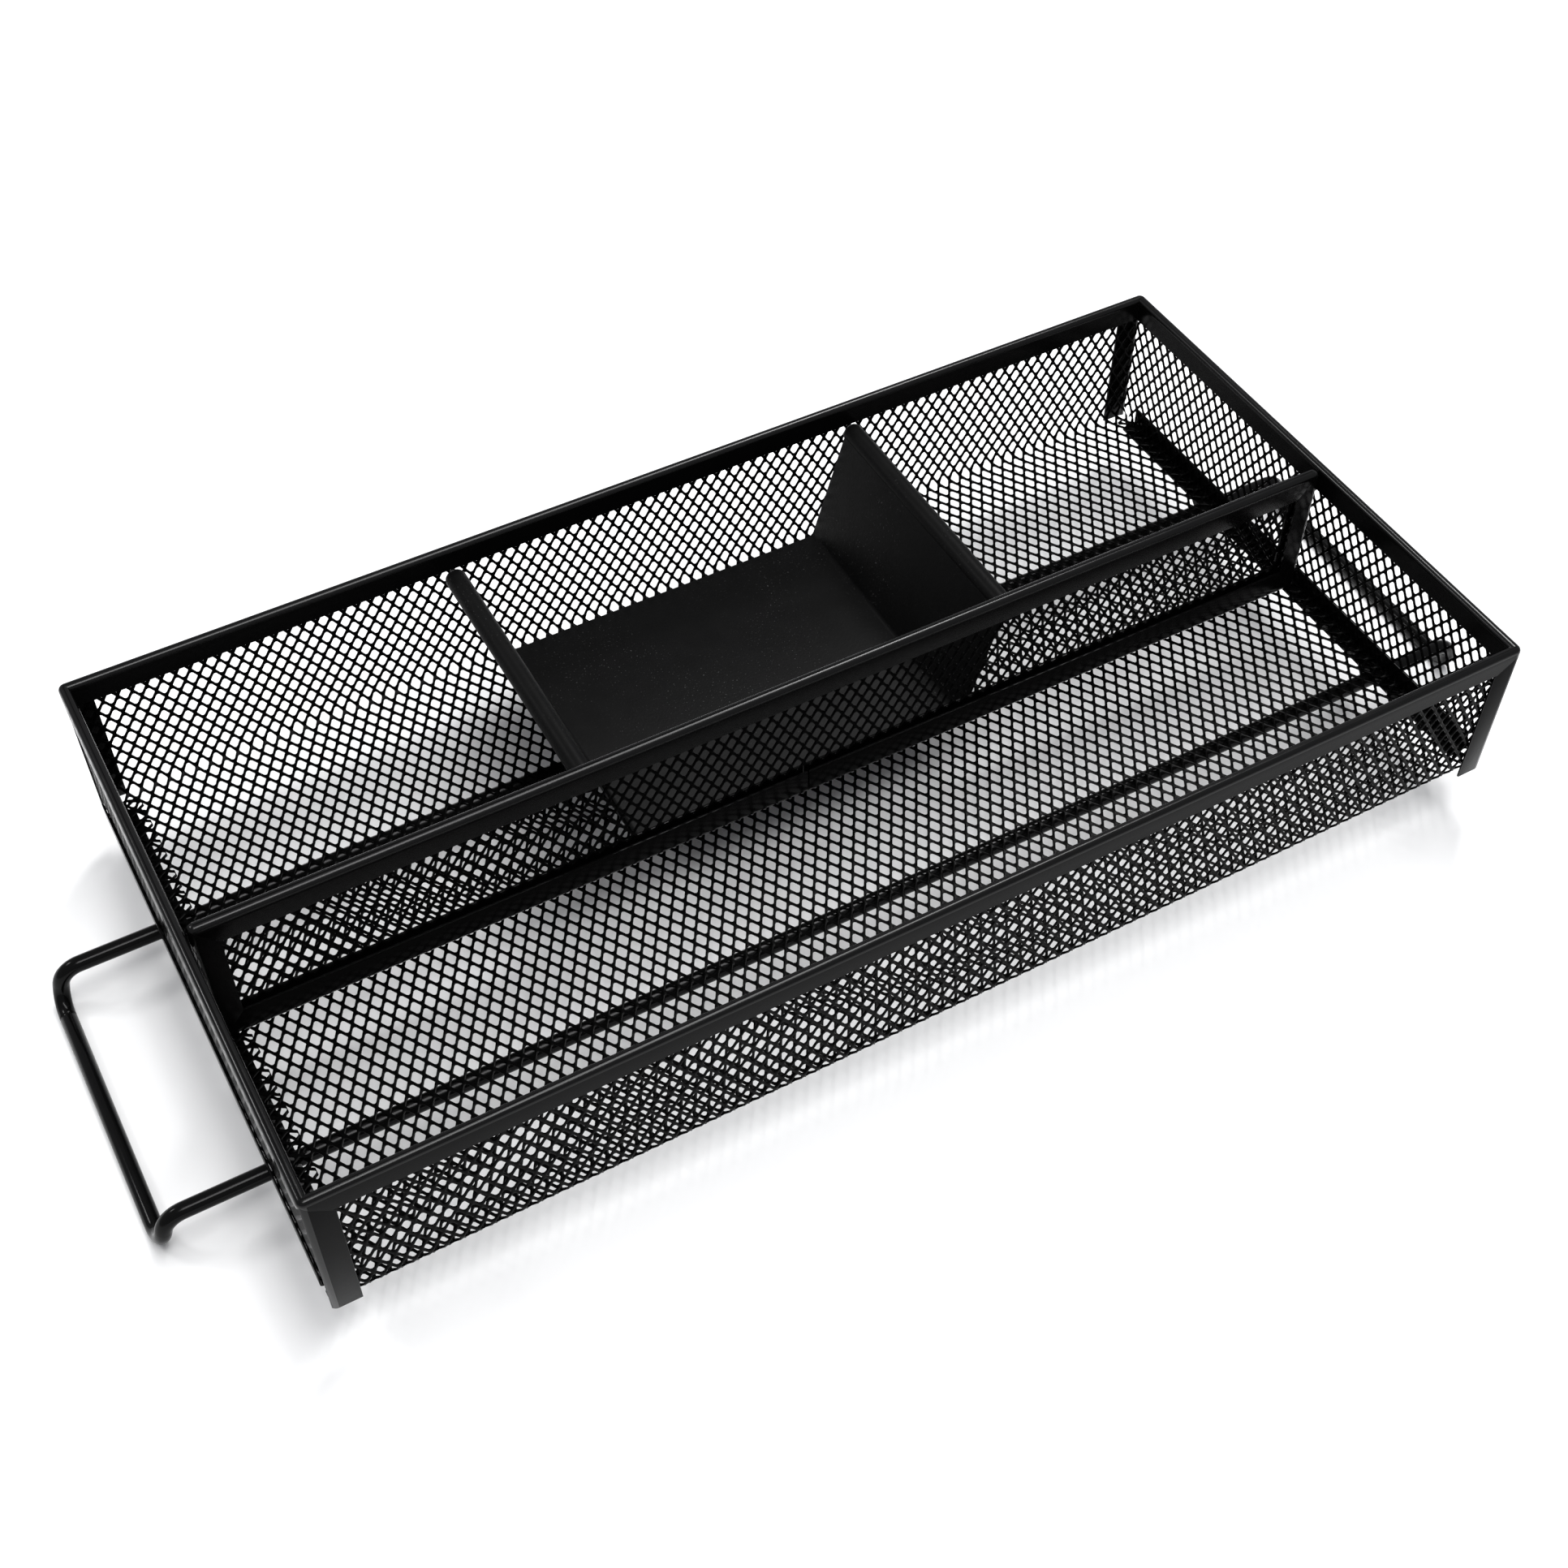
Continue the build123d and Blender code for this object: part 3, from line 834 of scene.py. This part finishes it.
top_left, top_right = frame_corner(-1, True)[0], frame_corner(1, True)[0]
divider_channel(
    "divider_top_rail", top_left, top_right - top_left, UP, top_rail,
    [mitre(-1, True, True), mitre(1, True, True)],
)
for side, end, seam_x in ((-1, "left", seam_left), (1, "right", seam_right)):
    top, bottom = frame_corner(side, True)[0], frame_corner(side, False)[0]
    divider_channel(
        f"divider_post_{end}", bottom, top - bottom, RIGHT * side, DIVIDER_POST,
        [mitre(side, True, False), mitre(side, False, False)],
    )
    seam = Vector((seam_x, frame_y, frame_low.z))
    divider_channel(
        f"divider_bottom_rail_{end}", bottom, seam - bottom, -UP, bottom_rail, [mitre(side, False, True)]
    )


# %% [markdown]
# ## The wire base
#
# One round wire, bent into a closed loop and welded at its ends. A wire bender works in straight runs and
# arcs, and so does this cell: a ring of points is pulled along each run and spun round each bend, until it
# meets its start. The two ends of the real wire are butt welded on the left crossbar, which leaves a fine
# groove round it.

# %% Bend the wire
WIRE_POINTS = 20
WIRE_ANGLE = math.radians(60)
BEND_STEPS = 10
wire_low, wire_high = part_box("wire_base")
wire_radius = 2.25 * MM
wire_bend = 6.3 * MM
HANDLE_SLANT = 3.0 * MM  # how far the handle leans outwards on its way down
bar_x = wire_high.x - wire_radius
drop_x = bar_x - HANDLE_SLANT
bar_z = wire_low.z + wire_radius
long_z = wire_high.z - wire_radius
wire_front, wire_back = wire_low.y + wire_radius, wire_high.y - wire_radius


def pull(bm, edges, step):
    """Pull a ring of edges along a straight run, and return the ring at its far end."""
    made = bmesh.ops.extrude_edge_only(bm, edges=edges)["geom"]
    bmesh.ops.translate(bm, verts=[v for v in made if isinstance(v, bmesh.types.BMVert)], vec=step)
    new = {v for v in made if isinstance(v, bmesh.types.BMVert)}
    return [e for e in made if isinstance(e, bmesh.types.BMEdge) and all(v in new for v in e.verts)]


def bend(bm, edges, centre, axis, angle):
    """Spin a ring of edges round a bend, and return the ring at its far end."""
    made = bmesh.ops.spin(
        bm, geom=edges, cent=centre, axis=axis, angle=angle, steps=BEND_STEPS, use_merge=False
    )
    return [e for e in made["geom_last"] if isinstance(e, bmesh.types.BMEdge)]


def wire_loop(corners, radius, bend_radius):
    bm = bmesh.new()
    corners = [Vector(c) for c in corners]
    count = len(corners)
    legs = [corners[(i + 1) % count] - corners[i] for i in range(count)]
    runs = [leg.normalized() for leg in legs]
    turns = [runs[i - 1].angle(runs[i]) for i in range(count)]
    setback = [bend_radius * math.tan(turn / 2) for turn in turns]
    start = corners[0] + runs[0] * setback[0]
    ring = bmesh.ops.create_circle(bm, cap_ends=False, segments=WIRE_POINTS, radius=radius)["verts"]
    facing = Vector((0, 0, 1)).rotation_difference(runs[0]).to_matrix()
    bmesh.ops.rotate(bm, verts=ring, cent=(0, 0, 0), matrix=facing)
    bmesh.ops.translate(bm, verts=ring, vec=start)
    edges = bm.edges[:]
    for i in range(count):
        after = (i + 1) % count
        edges = pull(bm, edges, runs[i] * (legs[i].length - setback[i] - setback[after]))
        inwards = (runs[after] - runs[i]).normalized()
        centre = corners[after] + inwards * bend_radius / math.cos(turns[after] / 2)
        edges = bend(bm, edges, centre, runs[i].cross(runs[after]), turns[after])
    return bm


wire = wire_loop(
    [
        (bar_x, wire_front, bar_z), (drop_x, wire_front, long_z),
        (-drop_x, wire_front, long_z), (-bar_x, wire_front, bar_z),
        (-bar_x, wire_back, bar_z), (-drop_x, wire_back, long_z),
        (drop_x, wire_back, long_z), (bar_x, wire_back, bar_z),
    ],
    wire_radius, wire_bend,
)

# %% Mark where the wire's two ends were butt welded
WELD_WIDTH = 0.7 * MM
WELD_FROM_BEND = 1.0 * MM
WELD_PINCH = 0.93  # the wire's share of its width at the weld
weld_y = wire_back - wire_bend - WELD_FROM_BEND
for step in (-1, 0, 1):
    score(wire, (0, weld_y + step * WELD_WIDTH / 2, 0), (0, 1, 0))
for vert in wire.verts:
    if vert.co.x < -drop_x and abs(vert.co.y - weld_y) < 0.01 * MM:
        middle_of_bar = Vector((-bar_x, weld_y, bar_z))
        vert.co = middle_of_bar + (vert.co - middle_of_bar) * WELD_PINCH
finish_piece(wire, "wire_loop", "tray", WIRE_COAT, ("wire_base",), WIRE_ANGLE)


# %% [markdown]
# ## The loose insert
#
# A strip of sheet with two bends: a flat floor and two cross walls that lean outwards. Along the top of
# each wall the sheet is rolled over into a round hem, so that no sharp edge is left. The strip is folded as
# a sheet, and each hem is a rod with rounded ends that the wall runs into.

# %% Fold the insert
INSERT_SHEET = 0.8 * MM
LEAN = math.radians(16.7)
INSERT_BEND = 2.8 * MM
INSERT_EASE = 0.12 * MM
insert_low, insert_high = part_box("insert")
hem_radius = 3.1 * MM
hem_z = insert_high.z - hem_radius
insert_middle = (insert_low.x + insert_high.x) / 2
insert_half = (insert_high.x - insert_low.x) / 2
hem_x = insert_half - hem_radius
base_half = 51.3 * MM
insert_back = 84.8 * MM
wall_out = base_half + INSERT_SHEET / math.cos(LEAN)
wall_top_x = wall_out + (hem_z - insert_low.z - INSERT_SHEET) * math.tan(LEAN)
section = [
    (insert_middle - wall_top_x, insert_low.y, hem_z),
    (insert_middle - wall_out + INSERT_SHEET * math.tan(LEAN), insert_low.y, insert_low.z),
    (insert_middle + wall_out - INSERT_SHEET * math.tan(LEAN), insert_low.y, insert_low.z),
    (insert_middle + wall_top_x, insert_low.y, hem_z),
]
insert = new_sheet(section, (0, insert_back - insert_low.y, 0))
setback = INSERT_BEND * math.tan((math.pi / 2 - LEAN) / 2)
round_folds(insert, folds(insert), setback, segments=8)
thicken(insert, INSERT_SHEET, (insert_middle, 0, hem_z))
ease_edges(insert, INSERT_EASE)

# %% Add the rolled hems
HEM_POINTS = 28
BACK_ROUND, FRONT_ROUND = 2.0 * MM, 0.5 * MM  # of a hem's two ends


def hem(bm, x, z, radius, start, end):
    made = bmesh.ops.create_cone(
        bm, cap_ends=True, cap_tris=False, segments=HEM_POINTS, radius1=radius, radius2=radius,
        depth=end - start,
    )["verts"]
    bmesh.ops.rotate(bm, verts=made, cent=(0, 0, 0), matrix=Matrix.Rotation(math.pi / 2, 3, "X"))
    bmesh.ops.translate(bm, verts=made, vec=(x, (start + end) / 2, z))
    far = [v for v in made if v.co.y > (start + end) / 2]
    near = [v for v in made if v.co.y < (start + end) / 2]
    for group, width in ((far, BACK_ROUND), (near, FRONT_ROUND)):
        rim = [e for e in bm.edges if e.verts[0] in group and e.verts[1] in group]
        bmesh.ops.bevel(
            bm, geom=rim, offset=width, offset_type="OFFSET", affect="EDGES", segments=6, profile=0.5,
            material=-1,
        )


for side in (-1, 1):
    hem(insert, insert_middle + side * hem_x, hem_z, hem_radius, insert_low.y, insert_high.y)
finish_piece(insert, "sheet_insert", "insert", INSERT_COAT, ("insert",))

# %% Give the carried-over nodes their coats
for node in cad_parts.values():
    if not node.hide_render:
        node.data.materials.clear()
        node.data.materials.append(WIRE_COAT if node.name == "weld_beads" else COAT)


# %% [markdown]
# ## Floor, light and camera
#
# The tray stands on a plain pale floor in pale surroundings, under soft studio light: a long strip
# overhead, which draws the lines along the rims, a small key behind at the right and a weak panel behind at
# the left. The camera is about an arm's length away, beyond the front left corner, and looks down at the
# middle of the tray.

# %% The floor
floor_bm = bmesh.new()
bmesh.ops.create_grid(floor_bm, x_segments=1, y_segments=1, size=6.0)
floor_mesh = bpy.data.meshes.new("floor")
floor_bm.to_mesh(floor_mesh)
floor_bm.free()
floor = bpy.data.objects.new("floor", floor_mesh)
bpy.context.scene.collection.objects.link(floor)
paper = bpy.data.materials.new("pale_paper")
paper.use_nodes = True
paper.node_tree.nodes["Principled BSDF"].inputs["Base Color"].default_value = (0.9, 0.9, 0.9, 1)
paper.node_tree.nodes["Principled BSDF"].inputs["Roughness"].default_value = 0.9
paper.node_tree.nodes["Principled BSDF"].inputs["Specular IOR Level"].default_value = 0.1
floor_mesh.materials.append(paper)


# %% Lights
def softbox(name, place, target, size, watts):
    light = bpy.data.lights.new(name, "AREA")
    light.shape = "RECTANGLE"
    light.size, light.size_y = size
    light.energy = watts
    lamp = bpy.data.objects.new(name, light)
    bpy.context.scene.collection.objects.link(lamp)
    lamp.location = place
    lamp.rotation_euler = (Vector(target) - Vector(place)).to_track_quat("-Z", "Y").to_euler()


softbox("key_panel", (0.8, 0.7, 1.7), (0, 0, 0), (0.35, 0.35), 13)
softbox("top_strip", (0.15, -0.1, 1.9), (0, 0, 0), (2.0, 0.45), 34)
softbox("left_panel", (-0.9, 0.85, 1.1), (0, 0, 0), (0.25, 0.25), 4)
world = bpy.data.worlds.new("studio")
world.use_nodes = True
world.node_tree.nodes["Background"].inputs["Color"].default_value = (0.955, 0.965, 1, 1)
world.node_tree.nodes["Background"].inputs["Strength"].default_value = 0.5
bpy.context.scene.world = world
bpy.context.scene.view_settings.view_transform = "Standard"

# %% Camera
camera_data = bpy.data.cameras.new("camera")
camera_data.lens = 49.43
camera_data.sensor_width = 36
camera = bpy.data.objects.new("camera", camera_data)
bpy.context.scene.collection.objects.link(camera)
camera_place = Vector((-0.19686, -0.34307, 0.48259))
camera_target = Vector((0.0031, 0.01213, 0.0014))
camera_roll = math.radians(0.37)
facing = (camera_target - camera_place).to_track_quat("-Z", "Y").to_matrix().to_4x4()
camera.matrix_world = Matrix.Translation(camera_place) @ facing @ Matrix.Rotation(camera_roll, 4, "Z")
bpy.context.scene.camera = camera
